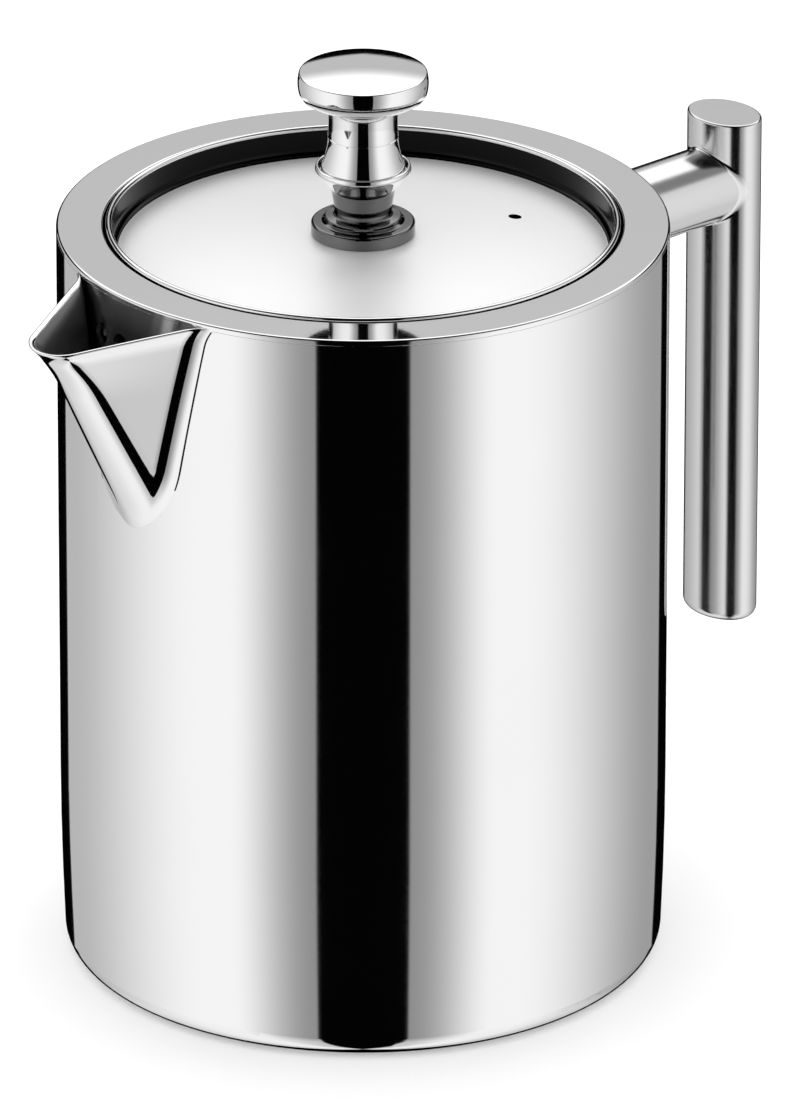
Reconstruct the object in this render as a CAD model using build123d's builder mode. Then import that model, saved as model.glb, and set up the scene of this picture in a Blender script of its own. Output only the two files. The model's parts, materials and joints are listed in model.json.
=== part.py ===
from build123d import *
from math import atan, atan2, cos, degrees, hypot, radians, sin, sqrt, tan
import os

# A double-walled steel french press, in millimetres. The pot stands on Z = 0 with its axis on
# +Z, the spout points along -X and the handle stands on the +X side. The plunger is pressed down.

# ---- Driving dimensions -------------------------------------------------------------------
BODY_R = 60.0          # outside of the pot
RIM_Z = 153.0          # flat top of the rim
SHEET = 0.8            # steel sheet of the pot and the lid skirt
DRAW_IN = 0.9          # how much the wall draws in towards the base
DRAW_IN_Z = 38.0       # height where the wall starts to draw in
BASE_CORNER = 4.5      # outside radius of the bottom corner
BASE_PLATE_R = 50.0

RIM_T = 1.2            # rim ring, measured down from its top
RIM_EDGE = 0.5         # rounding of its outer edge
RIM_LIP = 1.3          # rounding where it turns down into the neck
NECK_R = 51.1          # opening of the rim and inside of the neck
LIP_DEPTH = 3.0        # how far the turned-down lip reaches
LEDGE_Z = RIM_Z - 31   # shelf that the lid stands on
BREW_R = 49.5          # inside of the brewing chamber
LINER_FLOOR_Z = 9.0    # inside floor of the chamber
LINER_CORNER = 10.0

HOLE_R = 2.0           # pour holes behind the spout
HOLE_PITCH_DEG = 6.1
HOLE_ROW_PITCH = 4.9
HOLE_TOP_Z = RIM_Z - 10
HOLE_ROWS = (4, 3, 2, 1)
DUCT_HALF_DEG = 13.0
DUCT_WALL = 1.2
DUCT_LOW_Z = RIM_Z - 28.0
DUCT_HIGH_Z = RIM_Z - 6.5

SPOUT_TIP_R = 85.0     # tip of the spout, from the pot's axis
SPOUT_NOSE_R = 5.5     # rounding of the keel at the lip
SPOUT_KEEL_R = 10.5    # rounding of the keel where it meets the pot
SPOUT_CORNER_DEG = 17.0
SPOUT_TOP_Z = RIM_Z - 0.9
SPOUT_TOP_DIP = 2.2    # the tip's top edge lies this much lower
SPOUT_APEX_Z = RIM_Z - 45.5
SPOUT_SHEET = 1.1
SPOUT_FLARE = 6.0      # hollow blend into the pot's wall

GRIP_X = 96.3          # axis of the grip
GRIP_THICK = 12.7      # radial size of its oval
GRIP_WIDE = 17.0       # sideways size of its oval
GRIP_TOP_Z = RIM_Z - 2.6
GRIP_LENGTH = 108.0
GRIP_WALL = 1.5
GRIP_TOP_ROUND = 0.35
GRIP_END_ROUND = 2.2
CAP_T = 1.5
END_CAP_T = 4.0
ARM_R = 7.8
ARM_WALL = 1.5
ARM_Z = RIM_Z - 16.8
BEAD = 0.9             # weld bead, beyond the arm's skin

LID_R = 50.2           # outside of the cover's wall and of the skirt under it
LID_T = 0.9
LID_BEAD_R = 0.6       # bead along the cover's edge, centred on the wall at the rim's height
LID_FLAT_R = 10.0      # small flat under the bush's flange
LID_FLAT_Z = RIM_Z - 2.1
LID_WELL_Z = RIM_Z - 5.7   # the cover's face where it meets its wall
LID_WELL_ROUND = 1.5
LID_SEAM_Z = RIM_Z - 8.0
VENT_R = 1.3
VENT_AT_R = 31.9
VENT_AT_DEG = -20.6
SLOT_COUNT = 28        # pour slots round the lid's skirt
SLOT_WIDE = 3.6
SLOT_LOW_Z = RIM_Z - 28.0
SLOT_HIGH_Z = RIM_Z - 15.5

ROD_R = 2.5
RUNNING = 0.08         # radial clearance of the rod in its bush and in its hub
APART = 0.3            # gap between other faces that move past each other
BUSH_STEM_R = 4.0

STAND_OFF = 3.0        # filter nut above the chamber floor
MESH_R = 48.2
MESH_T = 0.3
PLATE_T = 1.0
SPRING_WIRE_R = 1.7    # outer size of the coiled edge spring
SPRING_R = 47.5        # middle of the coil
HUB_STEM_R = 3.9
HUB_R = 6.5
HUB_T = 2.0
HUB_NECK_R = 4.6
HUB_NECK_T = 5.0
NUT_T = 3.0

os.makedirs("parts", exist_ok=True)


def cover_z(radius):
    """Height of the lid's crowned face at a distance from the axis."""
    crown = (LID_FLAT_Z - LID_WELL_Z) / ((LID_R - LID_T)**2 - LID_FLAT_R**2)
    return LID_FLAT_Z - crown * (radius**2 - LID_FLAT_R**2)


def pour_hole_axes():
    """Radial planes through the pour holes, a triangle of rows that narrows downwards."""
    planes = []
    for row, count in enumerate(HOLE_ROWS):
        for i in range(count):
            turn = radians(180 + HOLE_PITCH_DEG * (i - (count - 1) / 2))
            height = HOLE_TOP_Z - HOLE_ROW_PITCH * row
            planes.append(Plane((0, 0, height), x_dir=(0, 0, 1), z_dir=(cos(turn), sin(turn), 0)))
    return planes


def slot_planes():
    """Radial planes through the pour slots, evenly spaced round the lid's skirt."""
    planes = []
    for i in range(SLOT_COUNT):
        turn = radians(360 * (i + 0.5) / SLOT_COUNT)
        middle = (0, 0, (SLOT_HIGH_Z + SLOT_LOW_Z) / 2)
        planes.append(Plane(middle, x_dir=(0, 0, 1), z_dir=(cos(turn), sin(turn), 0)))
    return planes


def write(piece, name):
    piece.part.label = name
    export_step(piece.part, f"parts/{name}.step")


# ---- Pot: outer shell and base --------------------------------------------------------------
SHELL_TOP_Z = RIM_Z - RIM_T
foot_r = BODY_R - DRAW_IN

with BuildPart() as outer_shell:
    with BuildSketch(Plane.XZ) as profile:
        with BuildLine():
            Line((BASE_PLATE_R, 0), (foot_r, 0))
            TangentArc((BODY_R, DRAW_IN_Z), (foot_r, 0), tangent=(0, -1))
            Polyline((BODY_R, DRAW_IN_Z), (BODY_R, SHELL_TOP_Z), (BODY_R - SHEET, SHELL_TOP_Z),
                     (BODY_R - SHEET, DRAW_IN_Z))
            TangentArc((BODY_R - SHEET, DRAW_IN_Z), (foot_r - SHEET, SHEET), tangent=(0, -1))
            Polyline((foot_r - SHEET, SHEET), (BASE_PLATE_R, SHEET), (BASE_PLATE_R, 0))
        make_face()
        corners = profile.vertices().filter_by_position(Axis.X, foot_r - SHEET - 0.01, foot_r + 0.01)
        fillet(corners.sort_by(Axis.Y)[0], radius=BASE_CORNER)
        corners = profile.vertices().filter_by_position(Axis.X, foot_r - SHEET - 0.01, foot_r + 0.01)
        inner_corner = corners.filter_by_position(Axis.Y, SHEET - 0.01, SHEET + 0.01).sort_by(Axis.X)[-1]
        fillet(inner_corner, radius=BASE_CORNER - SHEET)
    revolve(axis=Axis.Z)
    with BuildSketch(*pour_hole_axes()):
        Circle(HOLE_R)
    extrude(amount=BODY_R + 5, mode=Mode.SUBTRACT)
write(outer_shell, "outer_shell")

with BuildPart() as base_plate:
    Cylinder(BASE_PLATE_R, SHEET, align=(Align.CENTER, Align.CENTER, Align.MIN))
write(base_plate, "base_plate")

# ---- Pot: inner liner, rim and pour duct --------------------------------------------------------
LIP_LOW_Z = RIM_Z - LIP_DEPTH

with BuildPart() as inner_liner:
    with BuildSketch(Plane.XZ) as profile:
        with BuildLine():
            Polyline((0, LINER_FLOOR_Z), (BREW_R, LINER_FLOOR_Z), (BREW_R, LEDGE_Z), (NECK_R, LEDGE_Z),
                     (NECK_R, LIP_LOW_Z), (NECK_R + SHEET, LIP_LOW_Z), (NECK_R + SHEET, LEDGE_Z - SHEET),
                     (BREW_R + SHEET, LEDGE_Z - SHEET), (BREW_R + SHEET, LINER_FLOOR_Z - SHEET),
                     (0, LINER_FLOOR_Z - SHEET), close=True)
        make_face()
        floor_corners = profile.vertices().group_by(Axis.Y)
        fillet(floor_corners[0].sort_by(Axis.X)[-1], radius=LINER_CORNER + SHEET)
        floor_level = (LINER_FLOOR_Z - 0.01, LINER_FLOOR_Z + 0.01)
        floor_corners = profile.vertices().filter_by_position(Axis.Y, *floor_level)
        fillet(floor_corners.sort_by(Axis.X)[-1], radius=LINER_CORNER)
    revolve(axis=Axis.Z)
    with BuildSketch(*pour_hole_axes()):
        Circle(HOLE_R)
    extrude(amount=BODY_R + 5, mode=Mode.SUBTRACT)
write(inner_liner, "inner_liner")

with BuildPart() as rim_ring:
    with BuildSketch(Plane.XZ) as profile:
        with BuildLine():
            Polyline((BODY_R, SHELL_TOP_Z), (BODY_R, RIM_Z), (NECK_R, RIM_Z), (NECK_R, LIP_LOW_Z),
                     (NECK_R + SHEET, LIP_LOW_Z), (NECK_R + SHEET, SHELL_TOP_Z), close=True)
        make_face()
        top_corners = profile.vertices().group_by(Axis.Y)[-1].sort_by(Axis.X)
        fillet(top_corners[0], radius=RIM_LIP)
        top_corners = profile.vertices().group_by(Axis.Y)[-1].sort_by(Axis.X)
        fillet(top_corners[-1], radius=RIM_EDGE)
        seam_corner = profile.vertices().filter_by_position(Axis.Y, SHELL_TOP_Z - 0.01, SHELL_TOP_Z + 0.01)
        fillet(seam_corner.sort_by(Axis.X)[-1], radius=RIM_EDGE / 2)
    revolve(axis=Axis.Z)
write(rim_ring, "rim_ring")

with BuildPart() as pour_duct:
    duct_high = DUCT_HIGH_Z - DUCT_LOW_Z
    duct_mid = (DUCT_HIGH_Z + DUCT_LOW_Z) / 2
    duct_mid_r = (BODY_R + NECK_R) / 2
    duct_deep = BODY_R - NECK_R - 2 * SHEET
    start = Plane.XZ.rotated((0, 0, 180 - DUCT_HALF_DEG))
    with BuildSketch(start):
        with Locations((duct_mid_r, duct_mid)):
            Rectangle(duct_deep, duct_high)
    revolve(axis=Axis.Z, revolution_arc=2 * DUCT_HALF_DEG)
    wall_deg = degrees(DUCT_WALL / NECK_R)
    inside = Plane.XZ.rotated((0, 0, 180 - DUCT_HALF_DEG + wall_deg))
    with BuildSketch(inside):
        with Locations((duct_mid_r, duct_mid)):
            Rectangle(duct_deep, duct_high - 2 * DUCT_WALL)
    revolve(axis=Axis.Z, revolution_arc=2 * (DUCT_HALF_DEG - wall_deg), mode=Mode.SUBTRACT)
write(pour_duct, "pour_duct")

# ---- Spout -----------------------------------------------------------------------------------
# Every level cut through the spout is a vee with a round nose. Down the keel the vee moves back and
# its nose gets rounder, until it meets the pot at the apex. So the beak is a loft of two such vees.
KEEL_RUN = SPOUT_TIP_R - BODY_R
KEEL_DROP = SPOUT_TOP_Z - SPOUT_APEX_Z
START_RISE = 4.0       # the vee starts above the finished edge, and is trimmed to it
OVERRUN = 12.0         # and runs on below the apex, inside the pot
nose_x = SPOUT_TIP_R - SPOUT_NOSE_R
corner_x = BODY_R * cos(radians(SPOUT_CORNER_DEG))
corner_y = BODY_R * sin(radians(SPOUT_CORNER_DEG))
reach = hypot(nose_x - corner_x, corner_y)
vee_deg = degrees(atan2(corner_y, nose_x - corner_x) - atan(SPOUT_NOSE_R / sqrt(reach**2 - SPOUT_NOSE_R**2)))


def vee_points(height, sheet):
    """The beak's level section, inset by the sheet: nose start, nose, nose end, back end, back start."""
    share = (SPOUT_TOP_Z - height) / KEEL_DROP
    keel_r = SPOUT_NOSE_R + (SPOUT_KEEL_R - SPOUT_NOSE_R) * share
    nose_r = keel_r - sheet
    centre_x = keel_r - SPOUT_TIP_R + KEEL_RUN * share
    back_x = -BODY_R / 3
    touch_x = centre_x - nose_r * sin(radians(vee_deg))
    touch_y = nose_r * cos(radians(vee_deg))
    back_y = touch_y + (back_x - touch_x) * tan(radians(vee_deg))
    nose = (centre_x - nose_r, 0)
    return (touch_x, touch_y), nose, (touch_x, -touch_y), (back_x, -back_y), (back_x, back_y)


def from_axis(point):
    return hypot(point.X, point.Y)


def lies_on_wall(edge):
    """True for the edges where the beak's two flat sides meet the pot's wall."""
    ends_on_wall = abs(from_axis(edge @ 0) - BODY_R) < 0.01 and abs(from_axis(edge @ 0.5) - BODY_R) < 0.01
    return ends_on_wall and abs((edge @ 0).Z - (edge @ 1).Z) > KEEL_DROP / 2


VEE_HEIGHTS = (SPOUT_TOP_Z + START_RISE, SPOUT_APEX_Z - OVERRUN)

with BuildPart() as spout:
    for height in VEE_HEIGHTS:
        with BuildSketch(Plane.XY.offset(height)):
            with BuildLine():
                nose_start, nose, nose_end, back_end, back_start = vee_points(height, 0)
                ThreePointArc(nose_start, nose, nose_end)
                Polyline(nose_end, back_end, back_start, nose_start)
            make_face()
    loft(ruled=True)
    with Locations((0, 0, SPOUT_APEX_Z - 20)):
        Cylinder(BODY_R, 3 * KEEL_DROP, align=(Align.CENTER, Align.CENTER, Align.MIN))
    fillet(spout.edges().filter_by(lies_on_wall), radius=SPOUT_FLARE)
    # hollow it out, then take away the pot itself
    for height in VEE_HEIGHTS:
        with BuildSketch(Plane.XY.offset(height)):
            with BuildLine():
                nose_start, nose, nose_end, back_end, back_start = vee_points(height, SPOUT_SHEET)
                ThreePointArc(nose_start, nose, nose_end)
                Polyline(nose_end, back_end, back_start, nose_start)
            make_face()
    loft(ruled=True, mode=Mode.SUBTRACT)
    with Locations((0, 0, SPOUT_APEX_Z - 20)):
        Cylinder(BODY_R, 4 * KEEL_DROP, align=(Align.CENTER, Align.CENTER, Align.MIN), mode=Mode.SUBTRACT)
    # the top edge dips a little towards the tip
    dip_deg = degrees(atan(SPOUT_TOP_DIP / KEEL_RUN))
    trim = Plane((-BODY_R, 0, SPOUT_TOP_Z)).rotated((0, -dip_deg, 0))
    with BuildSketch(trim):
        Rectangle(3 * BODY_R, 3 * BODY_R)
    extrude(amount=2 * START_RISE + 5, mode=Mode.SUBTRACT)
write(spout, "spout")

# ---- Handle ------------------------------------------------------------------------------------
GRIP_LOW_Z = GRIP_TOP_Z - GRIP_LENGTH
half_thick = GRIP_THICK / 2
half_wide = GRIP_WIDE / 2
grip_foot = Plane((GRIP_X, 0, GRIP_LOW_Z))
tube_low_z = GRIP_LOW_Z + END_CAP_T
tube_high_z = GRIP_TOP_Z - CAP_T

with BuildPart() as handle_grip:
    with BuildSketch(Plane((GRIP_X, 0, tube_low_z))):
        Ellipse(half_thick, half_wide)
        Ellipse(half_thick - GRIP_WALL, half_wide - GRIP_WALL, mode=Mode.SUBTRACT)
    extrude(amount=tube_high_z - tube_low_z)
write(handle_grip, "handle_grip")

with BuildPart() as grip_top_cap:
    with BuildSketch(Plane((GRIP_X, 0, tube_high_z))):
        Ellipse(half_thick, half_wide)
    extrude(amount=CAP_T)
    fillet(grip_top_cap.edges().group_by(Axis.Z)[-1], radius=GRIP_TOP_ROUND)
write(grip_top_cap, "grip_top_cap")

with BuildPart() as grip_end_cap:
    with BuildSketch(grip_foot):
        Ellipse(half_thick, half_wide)
    extrude(amount=END_CAP_T)
    fillet(grip_end_cap.edges().group_by(Axis.Z)[0], radius=GRIP_END_ROUND)
write(grip_end_cap, "grip_end_cap")

arm_start = Plane((BODY_R - 5, 0, ARM_Z), x_dir=(0, 1, 0), z_dir=(1, 0, 0))
arm_reach = GRIP_X - BODY_R + 5

with BuildPart() as handle_arm:
    with BuildSketch(arm_start):
        Circle(ARM_R)
        Circle(ARM_R - ARM_WALL, mode=Mode.SUBTRACT)
    extrude(amount=arm_reach)
    Cylinder(BODY_R, RIM_Z, align=(Align.CENTER, Align.CENTER, Align.MIN), mode=Mode.SUBTRACT)
    with BuildSketch(grip_foot):
        Ellipse(half_thick, half_wide)
    extrude(amount=GRIP_LENGTH, mode=Mode.SUBTRACT)
write(handle_arm, "handle_arm")

with BuildPart() as grip_weld_bead:
    with BuildSketch(grip_foot):
        Ellipse(half_thick + BEAD, half_wide + BEAD)
        Ellipse(half_thick, half_wide, mode=Mode.SUBTRACT)
    extrude(amount=GRIP_LENGTH)
    with BuildSketch(arm_start):
        Circle(ARM_R + BEAD)
        Circle(ARM_R, mode=Mode.SUBTRACT)
    extrude(amount=arm_reach, mode=Mode.INTERSECT)
write(grip_weld_bead, "grip_weld_bead")

with BuildPart() as arm_weld_bead:
    Cylinder(BODY_R + BEAD, RIM_Z, align=(Align.CENTER, Align.CENTER, Align.MIN))
    Cylinder(BODY_R, RIM_Z, align=(Align.CENTER, Align.CENTER, Align.MIN), mode=Mode.SUBTRACT)
    with BuildSketch(arm_start):
        Circle(ARM_R + BEAD)
        Circle(ARM_R, mode=Mode.SUBTRACT)
    extrude(amount=arm_reach, mode=Mode.INTERSECT)
write(arm_weld_bead, "arm_weld_bead")

# ---- Lid ---------------------------------------------------------------------------------------
# The cover is a shallow pan: a rolled bead at the rim, a short wall down, and a crowned face.
well_r = LID_R - LID_T
bead_z = RIM_Z - sqrt(LID_BEAD_R**2 - (LID_T / 2)**2)
skirt_inner_r = LID_R - SHEET
mid_r = LID_R * 0.6

with BuildPart() as lid_cover:
    with BuildSketch(Plane.XZ) as profile:
        with BuildLine():
            Line((BUSH_STEM_R, LID_FLAT_Z), (LID_FLAT_R, LID_FLAT_Z))
            ThreePointArc((LID_FLAT_R, LID_FLAT_Z), (mid_r, cover_z(mid_r)), (well_r, LID_WELL_Z))
            Line((well_r, LID_WELL_Z), (well_r, bead_z))
            ThreePointArc((well_r, bead_z), (LID_R - LID_T / 2, RIM_Z + LID_BEAD_R), (LID_R, bead_z))
            Polyline((LID_R, bead_z), (LID_R, LID_SEAM_Z), (skirt_inner_r, LID_SEAM_Z),
                     (skirt_inner_r, cover_z(skirt_inner_r) - LID_T))
            ThreePointArc((skirt_inner_r, cover_z(skirt_inner_r) - LID_T), (mid_r, cover_z(mid_r) - LID_T),
                          (LID_FLAT_R, LID_FLAT_Z - LID_T))
            Polyline((LID_FLAT_R, LID_FLAT_Z - LID_T), (BUSH_STEM_R, LID_FLAT_Z - LID_T),
                     (BUSH_STEM_R, LID_FLAT_Z))
        make_face()
        well_corner = profile.vertices().filter_by_position(Axis.Y, LID_WELL_Z - 0.01, LID_WELL_Z + 0.01)
        fillet(well_corner, radius=LID_WELL_ROUND)
    revolve(axis=Axis.Z)
    vent_x = VENT_AT_R * cos(radians(VENT_AT_DEG))
    vent_y = VENT_AT_R * sin(radians(VENT_AT_DEG))
    with BuildSketch(Plane((vent_x, vent_y, RIM_Z))):
        Circle(VENT_R)
    extrude(amount=LID_SEAM_Z - RIM_Z, mode=Mode.SUBTRACT)
write(lid_cover, "lid_cover")

with BuildPart() as lid_skirt:
    skirt_low_z = LEDGE_Z + APART
    with BuildSketch(Plane.XY.offset(skirt_low_z)):
        Circle(LID_R)
        Circle(skirt_inner_r, mode=Mode.SUBTRACT)
    extrude(amount=LID_SEAM_Z - skirt_low_z)
    slot_high = SLOT_HIGH_Z - SLOT_LOW_Z
    with BuildSketch(*slot_planes()):
        SlotOverall(slot_high, SLOT_WIDE)
    extrude(amount=LID_R + 2, mode=Mode.SUBTRACT)
write(lid_skirt, "lid_skirt")

# The bush is one turning: a threaded stem through the lid, a flange on it, a waist, and a dished
# ring that takes the knob.
FLANGE_R = 10.2
FLANGE_TOP_Z = RIM_Z + 0.6
STEP_R = 7.5
STEP_TOP_Z = RIM_Z + 1.7
WAIST_R = 5.5
WAIST_Z = RIM_Z + 2.3
NECK_TOP_R = 6.3
NECK_TOP_Z = RIM_Z + 6.9
DISH_R = 9.45
DISH_LOW_Z = RIM_Z + 10.6
DISH_TOP_Z = RIM_Z + 12.2
DISH_FLOOR_R = 8.75
DISH_FLOOR_Z = RIM_Z + 11.3
STEM_LOW_Z = RIM_Z - 7.5
BUSH_BORE_R = ROD_R + RUNNING

with BuildPart() as guide_bush:
    with BuildSketch(Plane.XZ) as profile:
        with BuildLine():
            Polyline((BUSH_BORE_R, STEM_LOW_Z), (BUSH_STEM_R, STEM_LOW_Z), (BUSH_STEM_R, LID_FLAT_Z),
                     (FLANGE_R, LID_FLAT_Z), (FLANGE_R, FLANGE_TOP_Z - 0.6))
            RadiusArc((FLANGE_R, FLANGE_TOP_Z - 0.6), (FLANGE_R - 0.6, FLANGE_TOP_Z), -0.6)
            Polyline((FLANGE_R - 0.6, FLANGE_TOP_Z), (STEP_R + 0.5, FLANGE_TOP_Z),
                     (STEP_R, FLANGE_TOP_Z + 0.4), (STEP_R, STEP_TOP_Z - 0.3), (STEP_R - 0.3, STEP_TOP_Z),
                     (WAIST_R + 0.4, STEP_TOP_Z), (WAIST_R, WAIST_Z))
            Line((WAIST_R, WAIST_Z), (NECK_TOP_R, NECK_TOP_Z))
            TangentArc((NECK_TOP_R, NECK_TOP_Z), (DISH_R - 0.5, DISH_LOW_Z), tangent=(0.1, 1))
            ThreePointArc((DISH_R - 0.5, DISH_LOW_Z), (DISH_R, DISH_LOW_Z + 0.8),
                          (DISH_R - 0.25, DISH_TOP_Z - 0.1))
            Polyline((DISH_R - 0.25, DISH_TOP_Z - 0.1), (DISH_R - 0.45, DISH_TOP_Z),
                     (DISH_FLOOR_R, DISH_TOP_Z - 0.3), (DISH_FLOOR_R, DISH_FLOOR_Z),
                     (BUSH_BORE_R, DISH_FLOOR_Z), (BUSH_BORE_R, STEM_LOW_Z))
        make_face()
    revolve(axis=Axis.Z)
write(guide_bush, "guide_bush")

with BuildPart() as bush_nut:
    nut_top_z = LID_FLAT_Z - LID_T
    with BuildSketch(Plane.XY.offset(nut_top_z - NUT_T)):
        RegularPolygon(radius=7.5, side_count=6)
        Circle(BUSH_STEM_R, mode=Mode.SUBTRACT)
    extrude(amount=NUT_T)
write(bush_nut, "bush_nut")

# ---- Plunger: knob and rod ---------------------------------------------------------------------
KNOB_FOOT_R = 8.3
KNOB_FOOT_Z = DISH_FLOOR_Z + APART
KNOB_CREASE_R = 6.75
KNOB_CREASE_Z = RIM_Z + 18.4
KNOB_NECK_R = 7.0
KNOB_DISC_LOW_R = 11.0
KNOB_DISC_LOW_Z = RIM_Z + 26.9
KNOB_DISC_R = 12.8
KNOB_TOP_EDGE_R = 12.3
KNOB_TOP_EDGE_Z = RIM_Z + 31.9
KNOB_BREAK = 0.25      # small chamfer round the top
KNOB_CROWN = 0.7
KNOB_BORE_TOP_Z = RIM_Z + 24.0

with BuildPart() as knob:
    disc_shoulder = (KNOB_DISC_R - 0.15, KNOB_DISC_LOW_Z + 1.8)
    chamfer_foot = (KNOB_TOP_EDGE_R + KNOB_BREAK, KNOB_TOP_EDGE_Z - KNOB_BREAK)
    with BuildSketch(Plane.XZ) as profile:
        with BuildLine():
            Polyline((0, KNOB_BORE_TOP_Z), (ROD_R, KNOB_BORE_TOP_Z), (ROD_R, KNOB_FOOT_Z),
                     (KNOB_FOOT_R - 0.3, KNOB_FOOT_Z), (KNOB_FOOT_R, KNOB_FOOT_Z + 0.3))
            ThreePointArc((KNOB_FOOT_R, KNOB_FOOT_Z + 0.3), (7.15, KNOB_FOOT_Z + 4.0),
                          (KNOB_CREASE_R, KNOB_CREASE_Z))
            ThreePointArc((KNOB_CREASE_R, KNOB_CREASE_Z), (6.7, KNOB_CREASE_Z + 4.0),
                          (KNOB_NECK_R, KNOB_DISC_LOW_Z))
            Line((KNOB_NECK_R, KNOB_DISC_LOW_Z), (KNOB_DISC_LOW_R, KNOB_DISC_LOW_Z))
            ThreePointArc((KNOB_DISC_LOW_R, KNOB_DISC_LOW_Z), (12.1, KNOB_DISC_LOW_Z + 0.6), disc_shoulder)
            ThreePointArc(disc_shoulder, (KNOB_DISC_R, KNOB_DISC_LOW_Z + 3.2), chamfer_foot)
            Line(chamfer_foot, (KNOB_TOP_EDGE_R, KNOB_TOP_EDGE_Z))
            TangentArc((0, KNOB_TOP_EDGE_Z + KNOB_CROWN), (KNOB_TOP_EDGE_R, KNOB_TOP_EDGE_Z), tangent=(1, 0))
            Line((0, KNOB_TOP_EDGE_Z + KNOB_CROWN), (0, KNOB_BORE_TOP_Z))
        make_face()
    revolve(axis=Axis.Z)
write(knob, "knob")

NUT_LOW_Z = LINER_FLOOR_Z + STAND_OFF
CROSS_LOW_Z = NUT_LOW_Z + NUT_T
MESH_LOW_Z = CROSS_LOW_Z + PLATE_T
SPRING_LOW_Z = MESH_LOW_Z + MESH_T
HUB_LOW_Z = SPRING_LOW_Z + PLATE_T
HUB_TOP_Z = HUB_LOW_Z + HUB_T + HUB_NECK_T
HUB_BORE_LOW_Z = NUT_LOW_Z + 1.5
ROD_LOW_Z = HUB_BORE_LOW_Z + APART

with BuildPart() as plunger_rod:
    with BuildSketch(Plane.XY.offset(ROD_LOW_Z)):
        Circle(ROD_R)
    extrude(amount=KNOB_BORE_TOP_Z - ROD_LOW_Z)
write(plunger_rod, "plunger_rod")

with BuildPart() as rod_lock_nut:
    with BuildSketch(Plane.XY.offset(HUB_TOP_Z + APART)):
        RegularPolygon(radius=4.9, side_count=6)
        Circle(ROD_R, mode=Mode.SUBTRACT)
    extrude(amount=4)
write(rod_lock_nut, "rod_lock_nut")

# ---- Plunger: filter pack ----------------------------------------------------------------------
PERFORATION_R = 1.9
CROSS_RINGS = ((13, 12), (19, 18), (25, 24), (31, 30), (37, 36), (43, 42))
SPRING_RINGS = ((13, 12), (19, 18), (25, 24), (31, 30), (37, 36))
CROSS_R = 47.2
SPRING_PLATE_R = SPRING_R - sqrt(SPRING_WIRE_R**2 - (SPRING_WIRE_R - PLATE_T)**2) - 0.02

with BuildPart() as cross_plate:
    with BuildSketch(Plane.XY.offset(CROSS_LOW_Z)):
        Circle(CROSS_R)
        Circle(HUB_STEM_R, mode=Mode.SUBTRACT)
        for ring_r, count in CROSS_RINGS:
            with PolarLocations(ring_r, count):
                Circle(PERFORATION_R, mode=Mode.SUBTRACT)
    extrude(amount=PLATE_T)
write(cross_plate, "cross_plate")

with BuildPart() as filter_mesh:
    with BuildSketch(Plane.XY.offset(MESH_LOW_Z)):
        Circle(MESH_R)
        Circle(HUB_STEM_R, mode=Mode.SUBTRACT)
    extrude(amount=MESH_T)
write(filter_mesh, "filter_mesh")

with BuildPart() as spring_plate:
    with BuildSketch(Plane.XY.offset(SPRING_LOW_Z)):
        Circle(SPRING_PLATE_R)
        Circle(HUB_STEM_R, mode=Mode.SUBTRACT)
        for ring_r, count in SPRING_RINGS:
            with PolarLocations(ring_r, count):
                Circle(PERFORATION_R, mode=Mode.SUBTRACT)
    extrude(amount=PLATE_T)
write(spring_plate, "spring_plate")

with BuildPart() as edge_spring:
    with BuildSketch(Plane.XZ):
        with Locations((SPRING_R, SPRING_LOW_Z + SPRING_WIRE_R)):
            Circle(SPRING_WIRE_R)
    revolve(axis=Axis.Z)
write(edge_spring, "edge_spring")

with BuildPart() as filter_hub:
    with BuildSketch(Plane.XZ):
        with BuildLine():
            Polyline((0, NUT_LOW_Z), (HUB_STEM_R, NUT_LOW_Z), (HUB_STEM_R, HUB_LOW_Z), (HUB_R, HUB_LOW_Z),
                     (HUB_R, HUB_LOW_Z + HUB_T), (HUB_NECK_R, HUB_LOW_Z + HUB_T), (HUB_NECK_R, HUB_TOP_Z),
                     (ROD_R + RUNNING, HUB_TOP_Z), (ROD_R + RUNNING, HUB_BORE_LOW_Z), (0, HUB_BORE_LOW_Z),
                     close=True)
        make_face()
    revolve(axis=Axis.Z)
write(filter_hub, "filter_hub")

with BuildPart() as filter_nut:
    with BuildSketch(Plane.XY.offset(NUT_LOW_Z)):
        RegularPolygon(radius=7.5, side_count=6)
        Circle(HUB_STEM_R, mode=Mode.SUBTRACT)
    extrude(amount=NUT_T)
write(filter_nut, "filter_nut")
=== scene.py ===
"""Looks of the french press: polished steel in a light tent, on a pale floor."""

import json
from math import atan2, ceil, cos, degrees, exp, hypot, log, pi, radians, sin, sqrt

import bmesh
import bpy
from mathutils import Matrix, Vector
from mathutils.kdtree import KDTree


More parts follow.
